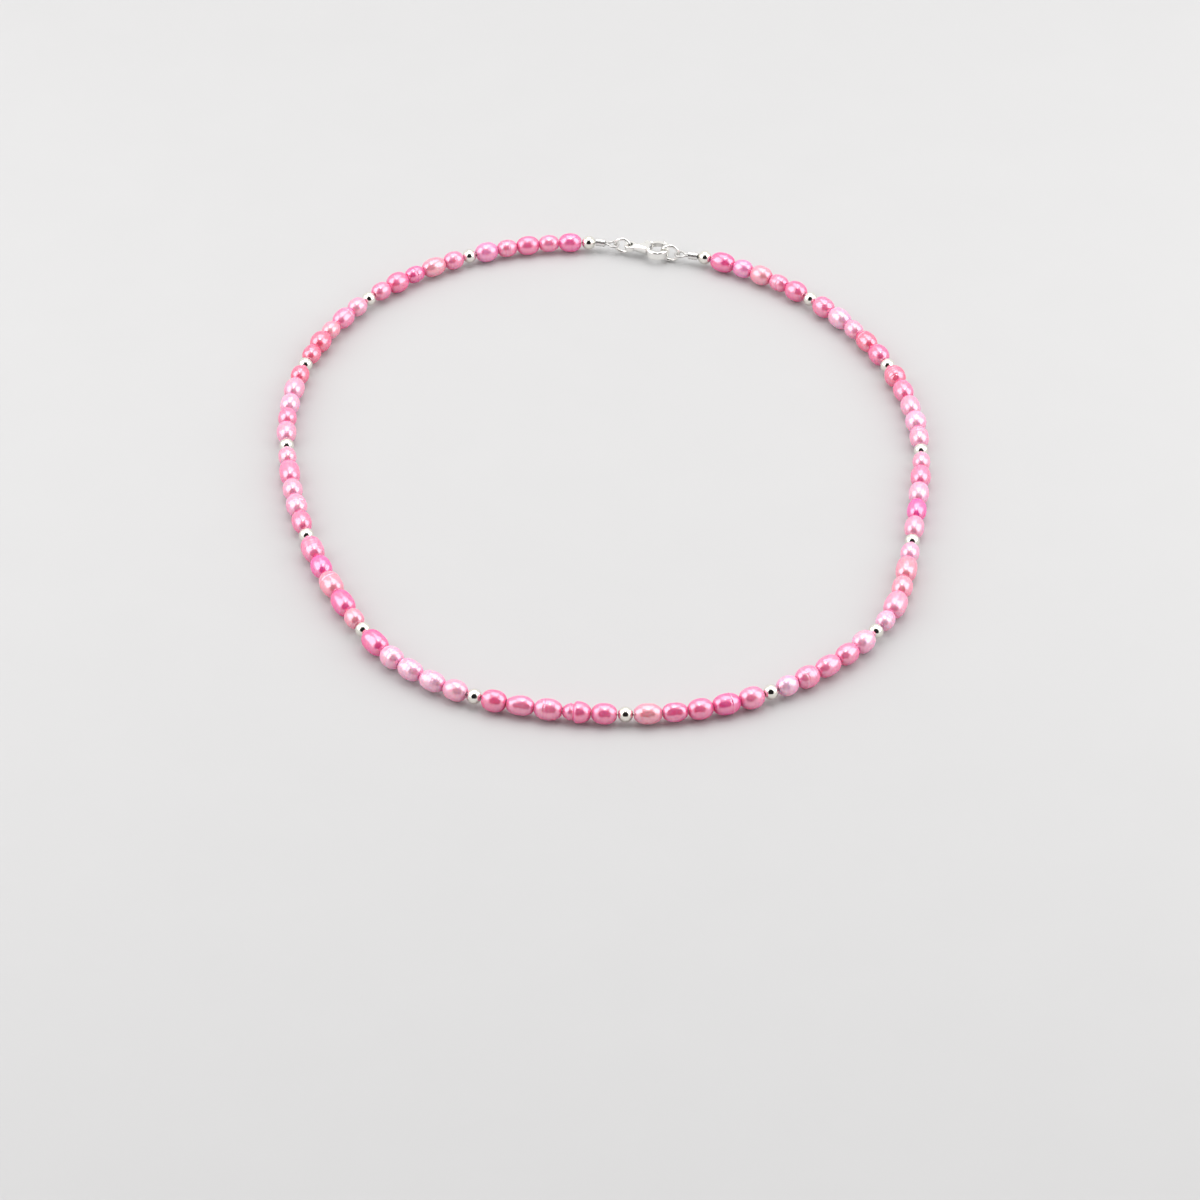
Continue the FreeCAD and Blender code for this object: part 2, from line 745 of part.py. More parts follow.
def check_document():
    doc.recompute()
    for thing in doc.Objects:
        if "Invalid" in thing.State or "Error" in thing.State:
            raise RuntimeError("%s failed: %s" % (thing.Label, thing.State))
    for thing in subparts:
        if thing.Shape.isNull() or not thing.Shape.isValid():
            raise RuntimeError("%s has no valid shape" % thing.Label)
    if not LEAST_SLACK <= SLACK <= MOST_SLACK:
        raise RuntimeError("the slack between beads is %.3f mm" % SLACK)
    if not 0 <= LEAD <= MOST_LEAD:
        raise RuntimeError("the wire loops would start %.2f mm from their crimps" % LEAD)


def export_subparts():
    os.makedirs("parts", exist_ok=True)
    for thing in subparts:
        thing.Shape.exportStep("parts/%s.step" % thing.Label)


check_document()
export_subparts()
box = FreeCAD.BoundBox()
for thing in subparts:
    box.add(thing.Shape.optimalBoundingBox())
print("sub-parts", len(subparts), "solids", sum(len(thing.Shape.Solids) for thing in subparts))
print("loop %.1f mm, slack %.3f mm, lead %.2f mm" % (LOOP_LENGTH, SLACK, LEAD))
print("box", box)
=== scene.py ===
"""Looks of the pink pearl necklace: pearls, silver beads, wire and clasp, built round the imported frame."""
import json
import math
import random

import bpy
import numpy as np
from mathutils import Matrix, Vector

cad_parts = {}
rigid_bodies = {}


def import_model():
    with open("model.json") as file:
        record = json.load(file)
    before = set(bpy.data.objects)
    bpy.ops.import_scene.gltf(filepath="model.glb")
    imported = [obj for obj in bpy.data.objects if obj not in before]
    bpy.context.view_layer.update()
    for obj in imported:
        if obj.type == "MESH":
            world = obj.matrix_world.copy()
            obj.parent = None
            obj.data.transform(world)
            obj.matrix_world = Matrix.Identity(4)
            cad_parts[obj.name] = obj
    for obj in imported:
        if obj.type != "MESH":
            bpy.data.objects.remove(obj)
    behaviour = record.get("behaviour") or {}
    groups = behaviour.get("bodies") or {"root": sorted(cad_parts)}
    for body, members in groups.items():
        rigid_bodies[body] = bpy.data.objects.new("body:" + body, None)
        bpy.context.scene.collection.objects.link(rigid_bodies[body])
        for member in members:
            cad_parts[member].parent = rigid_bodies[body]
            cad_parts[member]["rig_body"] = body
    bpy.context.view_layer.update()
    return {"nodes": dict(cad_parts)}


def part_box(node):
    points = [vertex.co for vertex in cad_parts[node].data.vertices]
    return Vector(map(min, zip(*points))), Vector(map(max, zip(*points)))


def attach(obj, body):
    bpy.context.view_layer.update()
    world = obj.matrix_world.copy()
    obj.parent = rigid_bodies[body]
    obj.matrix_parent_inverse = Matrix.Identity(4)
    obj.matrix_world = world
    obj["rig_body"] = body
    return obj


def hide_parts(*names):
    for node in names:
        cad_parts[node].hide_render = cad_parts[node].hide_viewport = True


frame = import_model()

MM = 0.001
FULL_TURN = 2 * math.pi

# --------------------------------------------------------------------------------------------------
# The strand, from the front bead outwards. A pearl is its shade, with its growth marks after a colon.

LEFT_PEARLS = (
    "rose rose:waist pink:flutes pink:lumps rose",
    "pale blush:bands blush:bands blush:bands hot",
    "peach:skin hot peach:ring magenta:tip pink:bands",
    "pink pale:ring pale pink:scar pale",
    "pale pink blush:scar pale coral",
    "coral coral peach pink:ring pale",
    "pink rose hot:ring peach pink",
    "lilac pink:bands rose pink hot",
)
RIGHT_PEARLS = (
    "peach rose:lumps rose hot:ring pink",
    "blush pink:bands pink pink blush:patch",
    "blush:ring pale peach:scar peach blush",
    "pale magenta blush:bands pink pale",
    "pale:ring blush pale pink coral:bands",
    "rose coral:ring pale blush pink",
    "rose pink:bands peach lilac hot",
)
PEARLS_IN_GROUP = 5

# Colours in linear light.
SHADES = {
    "hot": (0.95, 0.190, 0.42),
    "magenta": (0.93, 0.170, 0.48),
    "rose": (0.96, 0.250, 0.42),
    "coral": (0.93, 0.240, 0.32),
    "pink": (0.97, 0.350, 0.48),
    "lilac": (0.96, 0.420, 0.62),
    "pale": (0.98, 0.560, 0.62),
    "peach": (0.98, 0.500, 0.50),
    "blush": (0.98, 0.680, 0.74),
}
BARE_NACRE = (0.95, 0.62, 0.60)     # where the dye is thin
POOLED_DYE_AND_PAINTED_LIGHT = (0.92, 0.55, 0.75)     # times a pearl's shade, where the dye is deep; at the drilled ends partly painted colour of light through the nacre
SHADE_SPREAD = 0.05
CLOUD_COLOUR = (0.96, 0.42, 0.55, 1)
SPECK_COLOUR = (0.80, 0.06, 0.25, 1)
TARNISH_COLOUR = (0.55, 0.47, 0.36, 1)

# Grids
RINGS = 78                          # sections along a pearl's skin
AROUND = 76                         # points round each section
BORE_SECTIONS = 7
BEAD_RINGS = 56
RIM_STEPS = 6

# Pearls
BORE_RADIUS = 0.35 * MM
MOUTH_RADIUS = 0.80 * MM            # flat left at each end by the drill
MOUTH_CHIP = 0.05 * MM
LONG_PEARL = 1.28                   # length over girth, above which a pearl is a barrel
BARREL_FULLNESS = 3.0
OVAL_FULLNESS = 2.3
SLIMMEST = 0.92                     # of the girth that a pearl's place allows
SMALL_LOBE = 0.86                   # of a double pearl, against its large one
NECK_PLACE = 0.13                   # of a double pearl's length, from its middle
NECK_DEPTH = 0.42 * MM
NECK_WIDTH = 0.34 * MM
LOBE_BLEND = 0.18 * MM
END_DYE_AND_PAINTED_LIGHT = 0.9                       # dye pooled round the drilled ends, partly painted colour of light through the nacre
END_SHARPNESS = 6

# Growth marks, by kind. A kind that isn't listed has the plain value.
SWELLING = {"lumps": 0.030, "scar": 0.014}                          # share of the girth
PLAIN_SWELLING = 0.008
RING_COUNT = {"bands": 4, "flutes": 2}
PLAIN_RING_COUNT = 1
RING_DEPTH = {"bands": 0.035, "ring": 0.075, "flutes": 0.02}        # mm
PLAIN_RING_DEPTH = 0.010
FULL_FADE_DEPTH = 0.035 * MM        # depth from which a ring shows in the dye at full strength
RING_SPAN = 0.8                     # share of the length that rings lie in
SHOULDER_PLACE = 0.22 * MM          # from a ring's groove to the shoulder beside it
SHOULDER_WIDTH = 0.14 * MM
DENT_COUNT = 18
DENT_RADIUS = 0.36 * MM
DENT_DEPTH = 0.055 * MM
PIT_COUNT = 5
PIT_RADIUS = 0.17 * MM
PIT_DEPTH = 0.05 * MM
BAND_PERIOD = 0.20 * MM             # divided by a full turn, as is the flutes'
BAND_RELIEF = 0.012 * MM
FLUTE_PERIOD = 0.10 * MM
FLUTE_RELIEF = 0.007 * MM
# Angle round the pearl, place along its length and radius in mm of a spot that the dye left pale.
PALE_SPOTS = {"tip": (-0.75, -0.42, 0.9), "patch": (1.2, 0.20, 1.3), "skin": (-1.6, 0.10, 1.3)}

# Silver beads
BEAD_RIM = 0.09 * MM
BEAD_BORE = 0.8 * MM


# --------------------------------------------------------------------------------------------------
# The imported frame

def islands(node):
    """The separate solids of a CAD node, each as an array of points."""
    mesh = frame["nodes"][node].data
    points = np.array([v.co for v in mesh.vertices], float)
    keys = {}
    same = [keys.setdefault(tuple(np.round(p, 7)), i) for i, p in enumerate(points)]
    parent = list(range(len(points)))

    def root(i):
        while parent[i] != i:
            parent[i] = parent[parent[i]]
            i = parent[i]
        return i

    for i, first in enumerate(same):
        parent[root(i)] = root(first)
    for edge in mesh.edges:
        a, b = edge.vertices
        parent[root(a)] = root(b)
    groups = {}
    for i in range(len(points)):
        groups.setdefault(root(i), []).append(i)
    return [points[members] for members in groups.values()]


def middle(points):
    """Centre of the box round some points."""
    return Vector((points.min(0) + points.max(0)) / 2)


def node_middle(node):
    low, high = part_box(node)
    return (low + high) / 2


def body_of_node(node):
    return frame["nodes"][node]["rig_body"]


# --------------------------------------------------------------------------------------------------
# Node trees

def new_material(name):
    material = bpy.data.materials.new(name)
    material.use_nodes = True
    tree = material.node_tree
    return material, tree, tree.nodes["Principled BSDF"]


def set_inputs(node, values):
    for socket, value in values.items():
        node.inputs[socket].default_value = value


def attribute(tree, name):
    node = tree.nodes.new("ShaderNodeAttribute")
    node.attribute_name = name
    return node


def object_place(tree):
    return tree.nodes.new("ShaderNodeTexCoord").outputs["Object"]


def mapped(tree, place, values):
    """Coordinates scaled or turned by the mapping node's own inputs."""
    node = tree.nodes.new("ShaderNodeMapping")
    set_inputs(node, values)
    tree.links.new(place, node.inputs["Vector"])
    return node.outputs["Vector"]


def mix_colour(tree, factor, a, b):
    """Mixes two colours, each a socket or a value."""
    node = tree.nodes.new("ShaderNodeMix")
    node.data_type = "RGBA"
    for socket, value in ((node.inputs[0], factor), (node.inputs[6], a), (node.inputs[7], b)):
        if isinstance(value, bpy.types.NodeSocket):
            tree.links.new(value, socket)
        else:
            socket.default_value = value
    return node.outputs[2]


def ramp_between(tree, socket, low, high, from_low=0.0, from_high=1.0):
    """Maps a value from one range to another."""
    node = tree.nodes.new("ShaderNodeMapRange")
    tree.links.new(socket, node.inputs["Value"])
    set_inputs(node, {"From Min": from_low, "From Max": from_high, "To Min": low, "To Max": high})
    return node.outputs["Result"]


def noise(tree, coordinates, scale, detail, seed=None):
    """Fractal noise, with its own pattern for each seed if one is given."""
    node = tree.nodes.new("ShaderNodeTexNoise")
    set_inputs(node, {"Scale": scale, "Detail": detail})
    tree.links.new(coordinates, node.inputs["Vector"])
    if seed is not None:
        node.noise_dimensions = "4D"
        tree.links.new(seed, node.inputs["W"])
    return node.outputs["Fac"]


def bump(tree, height, distance, strength, below=None):
    """A bumped normal, on top of another one if it is given."""
    node = tree.nodes.new("ShaderNodeBump")
    set_inputs(node, {"Distance": distance, "Strength": strength})
    tree.links.new(height, node.inputs["Height"])
    if below is not None:
        tree.links.new(below, node.inputs["Normal"])
    return node.outputs["Normal"]


NACRE_MIDDLE = {"IOR": 2.3, "Specular IOR Level": 1.0}
NACRE_EDGE = {"IOR": 1.3, "Roughness": 0.35}
NACRE_THROUGHOUT = {
    "Coat Weight": 1.0,
    "Coat Roughness": 0.05,
    "Coat IOR": 1.15,
    "Coat Tint": (1.0, 0.80, 0.91, 1),
    "Subsurface Weight": 0.9,
    "Subsurface Radius": (1.0, 0.45, 0.6),
    "Subsurface Scale": 2.2 * MM,
    "Subsurface Anisotropy": 0.7,
}


def nacre():
    """Dyed freshwater nacre: a translucent body with clouds, specks and growth lines under a tinted skin.

    Its lustre is strong where it faces the eye and fades towards the edge, with one colour throughout.
    """
    material, tree, shader = new_material("dyed_nacre")
    dye = attribute(tree, "dye").outputs["Color"]
    seed = attribute(tree, "seed").outputs["Fac"]
    place = object_place(tree)

    clouds = ramp_between(tree, noise(tree, place, 700, 2, seed), 0.0, 0.30, 0.45, 0.75)
    specks = ramp_between(tree, noise(tree, place, 2600, 4, seed), 0.0, 0.35, 0.55, 0.80)
    colour = mix_colour(tree, clouds, dye, CLOUD_COLOUR)
    colour = mix_colour(tree, specks, colour, SPECK_COLOUR)
    roughness = ramp_between(tree, noise(tree, place, 1500, 3, seed), 0.09, 0.18)
    growth_lines = noise(tree, mapped(tree, place, {"Scale": (1.0, 0.12, 0.12)}), 6000, 2, seed)
    normal = bump(tree, noise(tree, place, 1800, 3, seed), 0.06 * MM, 0.55)
    normal = bump(tree, growth_lines, 0.016 * MM, 0.7, normal)
    tree.links.new(roughness, shader.inputs["Roughness"])

    edge = tree.nodes.new("ShaderNodeBsdfPrincipled")
    set_inputs(shader, NACRE_MIDDLE)
    set_inputs(edge, NACRE_EDGE)
    for part in (shader, edge):
        set_inputs(part, NACRE_THROUGHOUT)
        tree.links.new(colour, part.inputs["Base Color"])
        tree.links.new(normal, part.inputs["Normal"])

    view_angle = tree.nodes.new("ShaderNodeLayerWeight")
    set_inputs(view_angle, {"Blend": 0.5})
    lustre_lost = ramp_between(tree, view_angle.outputs["Facing"], 0.0, 0.9, 0.35, 0.80)
    mixed = tree.nodes.new("ShaderNodeMixShader")
    tree.links.new(lustre_lost, mixed.inputs["Fac"])
    tree.links.new(shader.outputs["BSDF"], mixed.inputs[1])
    tree.links.new(edge.outputs["BSDF"], mixed.inputs[2])
    tree.links.new(mixed.outputs["Shader"], tree.nodes["Material Output"].inputs["Surface"])
    return material


def metal(name, colour, dull, rough, scratch, grain=9000, tarnish=0.15):
    """Metal with fine scratches, soft dents and clouds of tarnish, its roughness from rough to dull."""
    material, tree, shader = new_material(name)
    place = object_place(tree)
    clouds = ramp_between(tree, noise(tree, place, 900, 3), 0.0, tarnish, 0.5, 0.85)
    tree.links.new(mix_colour(tree, clouds, (*colour, 1), TARNISH_COLOUR), shader.inputs["Base Color"])
    roughness = ramp_between(tree, noise(tree, place, 2200, 4), rough, dull)
    tree.links.new(roughness, shader.inputs["Roughness"])
    stretched = mapped(tree, place, {"Scale": (1.0, 0.08, 0.5), "Rotation": (0.3, 0.5, 0.7)})
    dents = bump(tree, noise(tree, place, 1300, 2), 0.02 * MM, scratch)
    scratches = bump(tree, noise(tree, stretched, grain, 2), 0.004 * MM, scratch, dents)
    tree.links.new(scratches, shader.inputs["Normal"])
    set_inputs(shader, {"Metallic": 1.0})
    return material


# --------------------------------------------------------------------------------------------------
# Meshes

def hump(x, centre, width):
    """A smooth hump of height 1."""
    return np.exp(-(((x - centre) / width) ** 2))


def closed_grid(name, points, sections, around):
    """A mesh of quads over a grid that closes on itself both ways."""
    i, j = np.meshgrid(np.arange(sections), np.arange(around), indexing="ij")
    after, beside = (i + 1) % sections, (j + 1) % around
    corners = [i * around + j, i * around + beside, after * around + beside, after * around + j]
    mesh = bpy.data.meshes.new(name)
    mesh.from_pydata(points.tolist(), [], np.stack(corners, -1).reshape(-1, 4).tolist())
    mesh.shade_smooth()
    mesh.validate()
    mesh.update()
    return mesh


def place_piece(name, mesh, centre, along):
    """Puts a mesh made along X at its centre, turned to lie along a direction."""
    piece = bpy.data.objects.new(name, mesh)
    bpy.context.scene.collection.objects.link(piece)
    forward = Vector(along).normalized()
    side = Vector((0, 0, 1)).cross(forward).normalized()
    turned = Matrix((forward, side, forward.cross(side))).transposed().to_4x4()
    piece.matrix_world = Matrix.Translation(centre) @ turned
    return piece


class Skin:
    """Marks on a pearl's grid: relief in metres, and how far the dye is thinned (+) or pooled (-); at the
    drilled ends the pooling is partly painted colour of light through the nacre.
    """

    def __init__(self, x, turn, length, girth, rng):
        self.x, self.turn, self.length, self.girth, self.rng = x, turn, length, girth, rng
        self.relief = np.zeros_like(x)
        self.fade = np.zeros_like(x)

    def any_angle(self):
        return self.rng.uniform(0, FULL_TURN)

    def spot(self, away, toward, radius):
        """A round hump of height 1, from the distances along the pearl and the angle that it lies at."""
        apart = away ** 2 + (self.girth / 2) ** 2 * 2 * (1 - np.cos(self.turn - toward))
        return np.exp(-apart / radius ** 2)

    def swell(self, share):
        for waves in (1, 2, 3):
            for swells in (0, 1, 2):
                size = share * self.girth * self.rng.uniform(0.2, 1.0) / (1 + 0.5 * (waves + swells))
                around = np.cos(waves * self.turn + self.any_angle())
                along = np.cos(swells * math.pi * self.x / self.length + self.any_angle())
                self.relief += size * around * along

    def dent(self):
        for _ in range(DENT_COUNT):
            at, toward = self.rng.uniform(-0.36, 0.36) * self.length, self.any_angle()
            dent = self.spot(self.x - at, toward, DENT_RADIUS)
            self.relief -= DENT_DEPTH * dent
            self.fade -= 0.30 * dent

    def ring(self, count, depth):
        """Grooves that lean a little, each with a pale shoulder beside it."""
        shown = min(1.0, depth / FULL_FADE_DEPTH)
        for k in range(count):
            if count == 1:
                share = self.rng.uniform(-0.25, 0.25)
            else:
                share = (k + self.rng.uniform(0.2, 0.8)) / count - 0.5
            at = share * self.length * RING_SPAN
            lean = self.rng.uniform(0.02, 0.10) * MM * np.cos(self.turn + self.any_angle())
            groove = hump(self.x, at + lean, self.rng.uniform(0.07, 0.13) * MM)
            shoulder = hump(self.x, at + lean + SHOULDER_PLACE, SHOULDER_WIDTH)
            self.relief += depth * (0.5 * shoulder - groove)
            self.fade += (0.32 * shoulder - 0.2 * groove) * shown

    def band(self):
        wave = np.sin(self.x / BAND_PERIOD + 0.8 * np.sin(self.turn + self.any_angle()))
        self.fade += 0.10 * wave
        self.relief += BAND_RELIEF * wave

    def flute(self):
        wave = np.sin(self.x / FLUTE_PERIOD + self.any_angle())
        self.fade += 0.12 * wave
        self.relief += FLUTE_RELIEF * wave

    def leave_pale(self, toward, share, radius):
        self.fade += 0.9 * self.spot(self.x - share * self.length, toward, radius * MM)

    def scar(self):
        """A patch of pits with pale floors."""
        toward, at = self.rng.uniform(0.6, 2.2), self.rng.uniform(-0.25, 0.25) * self.length
        for _ in range(PIT_COUNT):
            pit_toward = toward + self.rng.uniform(-0.35, 0.35)
            away = self.x - at - self.rng.uniform(-0.4, 0.4) * MM
            pit = self.spot(away, pit_toward, PIT_RADIUS)
            self.relief -= PIT_DEPTH * pit
            self.fade += 0.8 * pit

    def finish_ends(self):
        """Dye that runs to one side, and deeper colour where the relief dies out at the drilled ends: partly
        pooled dye, partly painted colour of light through the nacre where pearls meet.
        """
        inside = 1 - np.abs(2 * self.x / self.length) ** END_SHARPNESS
        self.fade += 0.10 * np.cos(self.turn + self.any_angle()) * np.sin(math.pi * self.x / self.length)
        # Painted light: the ends are deepened partly as pooled dye, partly as painted colour of light
        # passing through the nacre.
        self.fade -= END_DYE_AND_PAINTED_LIGHT * (1 - inside)
        self.relief *= inside


def growth(x, turn, length, girth, kind, rng):
    """The skin of one pearl, with the growth marks of its kind."""
    skin = Skin(x, turn, length, girth, rng)
    skin.swell(SWELLING.get(kind, PLAIN_SWELLING))
    if kind == "lumps":
        skin.dent()
    skin.ring(RING_COUNT.get(kind, PLAIN_RING_COUNT), RING_DEPTH.get(kind, PLAIN_RING_DEPTH) * MM)
    if kind == "bands":
        skin.band()
    elif kind == "flutes":
        skin.flute()
    elif kind in PALE_SPOTS:
        skin.leave_pale(*PALE_SPOTS[kind])
    elif kind == "scar":
        skin.scar()
    skin.finish_ends()
    return skin


def outline(x, length, girth, kind):
    """Radius of a pearl's skin at distance x along its bore, before its relief."""
    fullness = BARREL_FULLNESS if length / girth > LONG_PEARL else OVAL_FULLNESS
    mouth = 2 * MOUTH_RADIUS / girth
    reach = length / (1 - mouth ** 2) ** (1 / fullness)
    radius = girth / 2 * np.sqrt(1 - np.abs(2 * x / reach) ** fullness)
    if kind == "waist":
        neck = NECK_PLACE * length
        small = 1 / (1 + np.exp((neck - x) / LOBE_BLEND))
        radius = radius * (1 - (1 - SMALL_LOBE) * small) - NECK_DEPTH * hump(x, neck, NECK_WIDTH)
    return radius


def dye_mesh(mesh, shade, fade, rng):
    """Writes a pearl's dye, with the painted colour of light through the nacre at its ends, and the seed of
    its noise on its points.
    """
    dye = np.array(SHADES[shade]) * (1 + rng.uniform(-SHADE_SPREAD, SHADE_SPREAD))
    up = np.clip(fade, 0, 1).reshape(-1, 1)
    down = np.clip(-fade, 0, 1).reshape(-1, 1)
    colours = dye * (1 - up - down) + np.array(BARE_NACRE) * up + dye * np.array(POOLED_DYE_AND_PAINTED_LIGHT) * down
    colours = np.hstack([colours, np.ones((len(colours), 1))])
    layer = mesh.attributes.new("dye", "FLOAT_COLOR", "POINT")
    layer.data.foreach_set("color", colours.astype(np.float32).ravel())
    seeds = mesh.attributes.new("seed", "FLOAT", "POINT")
    seeds.data.foreach_set("value", np.full(len(colours), rng.uniform(0, 50), np.float32))


def pearl(name, centre, along, length, girth, shade, kind, rng):
    """One pearl: its skin from mouth to mouth, then its drilled bore back again, as one closed grid."""
    x = -length / 2 * np.cos(np.linspace(0, math.pi, RINGS))
    turn = np.linspace(0, FULL_TURN, AROUND, endpoint=False)
    grid_x, grid_turn = np.meshgrid(x, turn, indexing="ij")
    skin = growth(grid_x, grid_turn, length, girth, kind, rng)
    skin_radius = outline(grid_x, length, girth, kind) + skin.relief
    skin_radius *= rng.uniform(SLIMMEST, 1.0) * girth / 2 / skin_radius.max()

    bore_x = np.linspace(length / 2, -length / 2, BORE_SECTIONS)
    chip = np.where(np.abs(bore_x) > 0.49 * length, MOUTH_CHIP, 0.0)
    bore_x = bore_x + np.sign(-bore_x) * 0.3 * chip
    all_x = np.concatenate([grid_x, np.repeat(bore_x[:, None], AROUND, 1)])
    radius = np.concatenate([skin_radius, np.repeat((BORE_RADIUS + chip)[:, None], AROUND, 1)])
    all_turn = np.concatenate([grid_turn, np.repeat(turn[None, :], BORE_SECTIONS, 0)])
    points = np.stack([all_x, radius * np.cos(all_turn), radius * np.sin(all_turn)], -1)

    mesh = closed_grid(name, points.reshape(-1, 3), RINGS + BORE_SECTIONS, AROUND)
    fade = np.concatenate([skin.fade, np.full((BORE_SECTIONS, AROUND), 0.5)])
    dye_mesh(mesh, shade, fade, rng)
    return place_piece(name, mesh, centre, along)


def silver_bead(name, centre, along, diameter):
    """A polished ball with a drill hole through it, rounded at both rims."""
    half = math.sqrt((diameter / 2) ** 2 - (BEAD_BORE / 2 + BEAD_RIM) ** 2)
    start = math.asin(half / (diameter / 2))
    swing = np.linspace(-start, start, BEAD_RINGS)
    roll = np.linspace(0, math.pi / 2, RIM_STEPS)[1:]
    rim_x = half - BEAD_RIM * (1 - np.cos(roll))
    rim_radius = BEAD_BORE / 2 + BEAD_RIM * (1 - np.sin(roll))
    inner_x = np.linspace(rim_x[-1], -rim_x[-1], RIM_STEPS)[1:-1]
    inner_radius = np.full(len(inner_x), BEAD_BORE / 2)
    profile_x = np.concatenate([diameter / 2 * np.sin(swing), rim_x, inner_x, -rim_x[::-1]])
    radius = np.concatenate([diameter / 2 * np.cos(swing), rim_radius, inner_radius, rim_radius[::-1]])
    turn = np.linspace(0, FULL_TURN, AROUND, endpoint=False)
    across = np.repeat(profile_x[:, None], AROUND, 1)
    points = np.stack([across, radius[:, None] * np.cos(turn), radius[:, None] * np.sin(turn)], -1)
    mesh = closed_grid(name, points.reshape(-1, 3), len(profile_x), AROUND)
    return place_piece(name, mesh, centre, along)


# --------------------------------------------------------------------------------------------------
# The strand

def side_route(side, groups):
    """Stops of one side from the front bead outwards: a node, its place, and a pearl's points or None."""
    before = node_middle("silver_bead_front")
    stops = []
    for k in range(1, groups + 1):
        group = f"pearls_{side}_{k}"
        found = sorted(islands(group), key=lambda points: (middle(points) - before).length)
        for points in found:
            stops.append((group, middle(points), points))
        bead = f"silver_bead_{side}_{k}"
        if bead in frame["nodes"]:
            before = node_middle(bead)
            stops.append((bead, before, None))
    return stops


def measure(points, centre, along):
    """Length and girth of one solid about its own axis."""
    offset = points - np.array(centre)
    reach = offset @ np.array(along)
    spread = np.linalg.norm(offset - np.outer(reach, along), axis=1)
    return reach.max() - reach.min(), 2 * spread.max()


def build_side(side, lists, pearl_finish, bead_finish):
    """Every pearl and silver bead of one side, each turned to lie between its neighbours."""
    stops = side_route(side, len(lists))
    places = [node_middle("silver_bead_front")] + [stop[1] for stop in stops]
    places.append(places[-1] * 2 - places[-2])
    told = {f"pearls_{side}_{k + 1}": words.split() for k, words in enumerate(lists)}
    for number, (node, centre, points) in enumerate(stops):
        along = (places[number + 2] - places[number]).normalized()
        if points is None:
            build_bead(node, along, bead_finish)
            continue
        word = told[node].pop(0)
        position = PEARLS_IN_GROUP - len(told[node])
        shade, _, kind = word.partition(":")
        length, girth = measure(points, centre, along)
        rng = random.Random(f"{node} {position}")
        piece = pearl(f"{node}_pearl_{position}", centre, along, length, girth, shade, kind, rng)
        piece.data.materials.append(pearl_finish)
        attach(piece, body_of_node(node))
        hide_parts(node)


def build_bead(node, along, finish):
    low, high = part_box(node)
    piece = silver_bead(f"{node}_ball", (low + high) / 2, along, high.z - low.z)
    piece.data.materials.append(finish)
    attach(piece, body_of_node(node))
    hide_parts(node)


def finish_cad(node, material):
    """A CAD node that stays as it is, with its material set."""
    piece = frame["nodes"][node]
    piece.data.materials.clear()
    piece.data.materials.append(material)


# --------------------------------------------------------------------------------------------------
# Camera, floor and light

LOOK_AT = Vector((-0.55, -42.98, 2.25)) * MM
VIEW_ELEVATION = math.radians(40.6)
VIEW_DISTANCE = 0.8
TO_CAMERA = Vector((0, -math.cos(VIEW_ELEVATION), math.sin(VIEW_ELEVATION)))
LENS_MM = 123.3
SENSOR_MM = 36

FLOOR_SIZE = 8.0
FLOOR_COLOURS = ((0.556, 0.553, 0.555, 1), (0.570, 0.567, 0.569, 1))
CARD_SIZE = (1.60, 1.30)
CARD_DISTANCE = 0.95
WORLD_COLOUR = (1.0, 0.995, 0.985, 1)
WORLD_STRENGTH = 0.95
# Name, side, place and radiance of each soft box.
LIGHTS = (
    ("top_light", 0.80, (0.05, 0.45, 0.95), 1.5),
    ("left_light", 0.50, (-0.42, -0.04, 0.33), 1.7),
    ("right_light", 0.50, (0.42, -0.04, 0.33), 1.7),
    ("small_light", 0.14, (0.03, 0.05, 1.10), 13.0),
)


def make_camera():
    data = bpy.data.cameras.new("camera")
    data.lens = LENS_MM
    data.sensor_width = SENSOR_MM
    camera = bpy.data.objects.new("camera", data)
    bpy.context.scene.collection.objects.link(camera)
    camera.location = LOOK_AT + TO_CAMERA * VIEW_DISTANCE
    camera.rotation_euler = (math.pi / 2 - VIEW_ELEVATION, 0, 0)
    bpy.context.scene.camera = camera


def facing(direction):
    """The turn that points Z along a direction."""
    return Vector(direction).to_track_quat("Z", "Y")


def flat_panel(name, width, height, centre, direction, material):
    """A rectangular panel of the stage."""
    mesh = bpy.data.meshes.new(name)
    x, y = width / 2, height / 2
    mesh.from_pydata([(-x, -y, 0), (x, -y, 0), (x, y, 0), (-x, y, 0)], [], [(0, 1, 2, 3)])
    panel = bpy.data.objects.new(name, mesh)
    bpy.context.scene.collection.objects.link(panel)
    panel.matrix_world = Matrix.Translation(centre) @ facing(direction).to_matrix().to_4x4()
    mesh.materials.append(material)
    return panel


def soft_box(name, size, place, radiance):
    """A square soft light aimed at the strand, given by how bright its face is."""
    data = bpy.data.lights.new(name, "AREA")
    data.size = size
    data.energy = radiance * math.pi * size ** 2
    lamp = bpy.data.objects.new(name, data)
    bpy.context.scene.collection.objects.link(lamp)
    lamp.location = place
    lamp.visible_camera = False
    lamp.rotation_euler = facing(Vector(place) - LOOK_AT).to_euler()


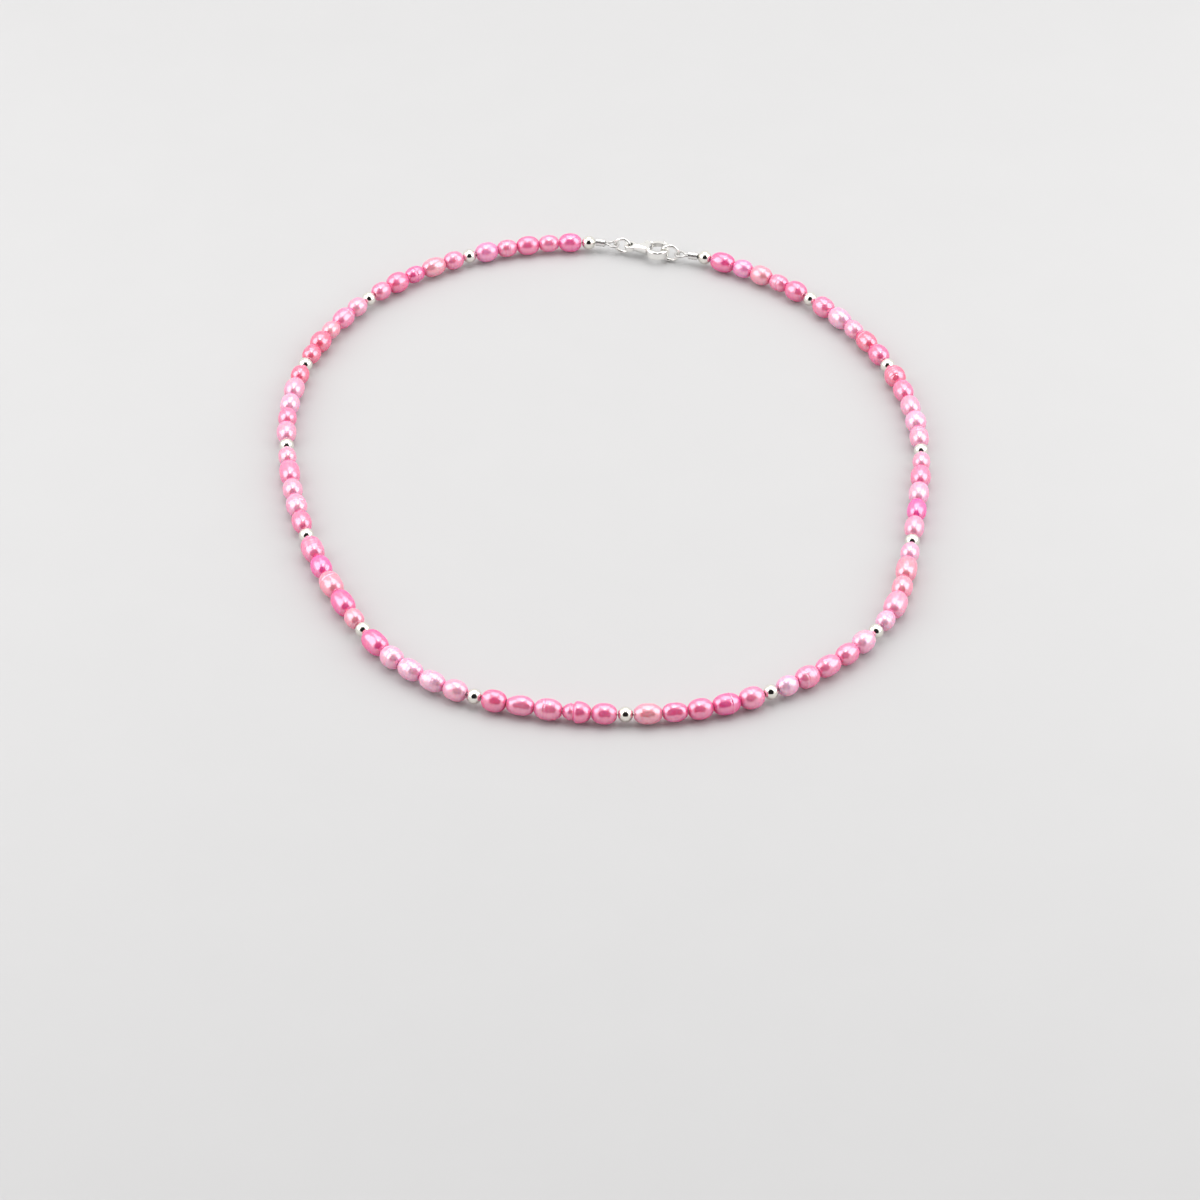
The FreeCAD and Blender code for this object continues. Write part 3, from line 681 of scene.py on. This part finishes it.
def make_stage():
    floor_finish, tree, shader = new_material("pale_floor")
    shade = mix_colour(tree, noise(tree, object_place(tree), 60, 4), *FLOOR_COLOURS)
    tree.links.new(shade, shader.inputs["Base Color"])
    set_inputs(shader, {"Roughness": 0.75, "Specular IOR Level": 0.15})
    flat_panel("floor", FLOOR_SIZE, FLOOR_SIZE, (0, 0, 0), (0, 0, 1), floor_finish)

    # Stands behind the camera and gives the silver its dark centre.
    card_finish, _, shader = new_material("dark_card")
    set_inputs(shader, {"Base Color": (0.012, 0.010, 0.012, 1), "Roughness": 0.9})
    card = flat_panel("lens_card", *CARD_SIZE, LOOK_AT + TO_CAMERA * CARD_DISTANCE, -TO_CAMERA, card_finish)
    card.visible_camera = False

    world = bpy.data.worlds.new("studio")
    world.use_nodes = True
    set_inputs(world.node_tree.nodes["Background"], {"Color": WORLD_COLOUR, "Strength": WORLD_STRENGTH})
    bpy.context.scene.world = world
    for light in LIGHTS:
        soft_box(*light)
    bpy.context.scene.view_settings.view_transform = "Standard"


def main():
    pearl_finish = nacre()
    bead_finish = metal("polished_silver", (0.87, 0.85, 0.78), 0.09, 0.03, 0.10, tarnish=0.10)
    clasp_finish = metal("clasp_silver", (0.90, 0.89, 0.86), 0.22, 0.08, 0.35)
    crimp_finish = metal("crimp_silver", (0.80, 0.79, 0.77), 0.38, 0.20, 0.6)
    wire_finish = metal("beading_wire", (0.62, 0.61, 0.60), 0.45, 0.28, 0.5, grain=16000)
    spring_finish = metal("spring_steel", (0.55, 0.55, 0.57), 0.40, 0.22, 0.5)

    make_camera()
    make_stage()
    left, right = (np.concatenate(islands(node)) for node in ("pearls_left_1", "pearls_right_1"))
    build_bead("silver_bead_front", middle(right) - middle(left), bead_finish)
    build_side("left", LEFT_PEARLS, pearl_finish, bead_finish)
    build_side("right", RIGHT_PEARLS, pearl_finish, bead_finish)
    for node in frame["nodes"]:
        if node.startswith("wire_"):
            finish_cad(node, wire_finish)
        elif node.startswith("crimp_"):
            finish_cad(node, crimp_finish)
        elif node == "clasp_spring":
            finish_cad(node, spring_finish)
        elif node.startswith("clasp_") or node.endswith("_ring"):
            finish_cad(node, clasp_finish)


main()
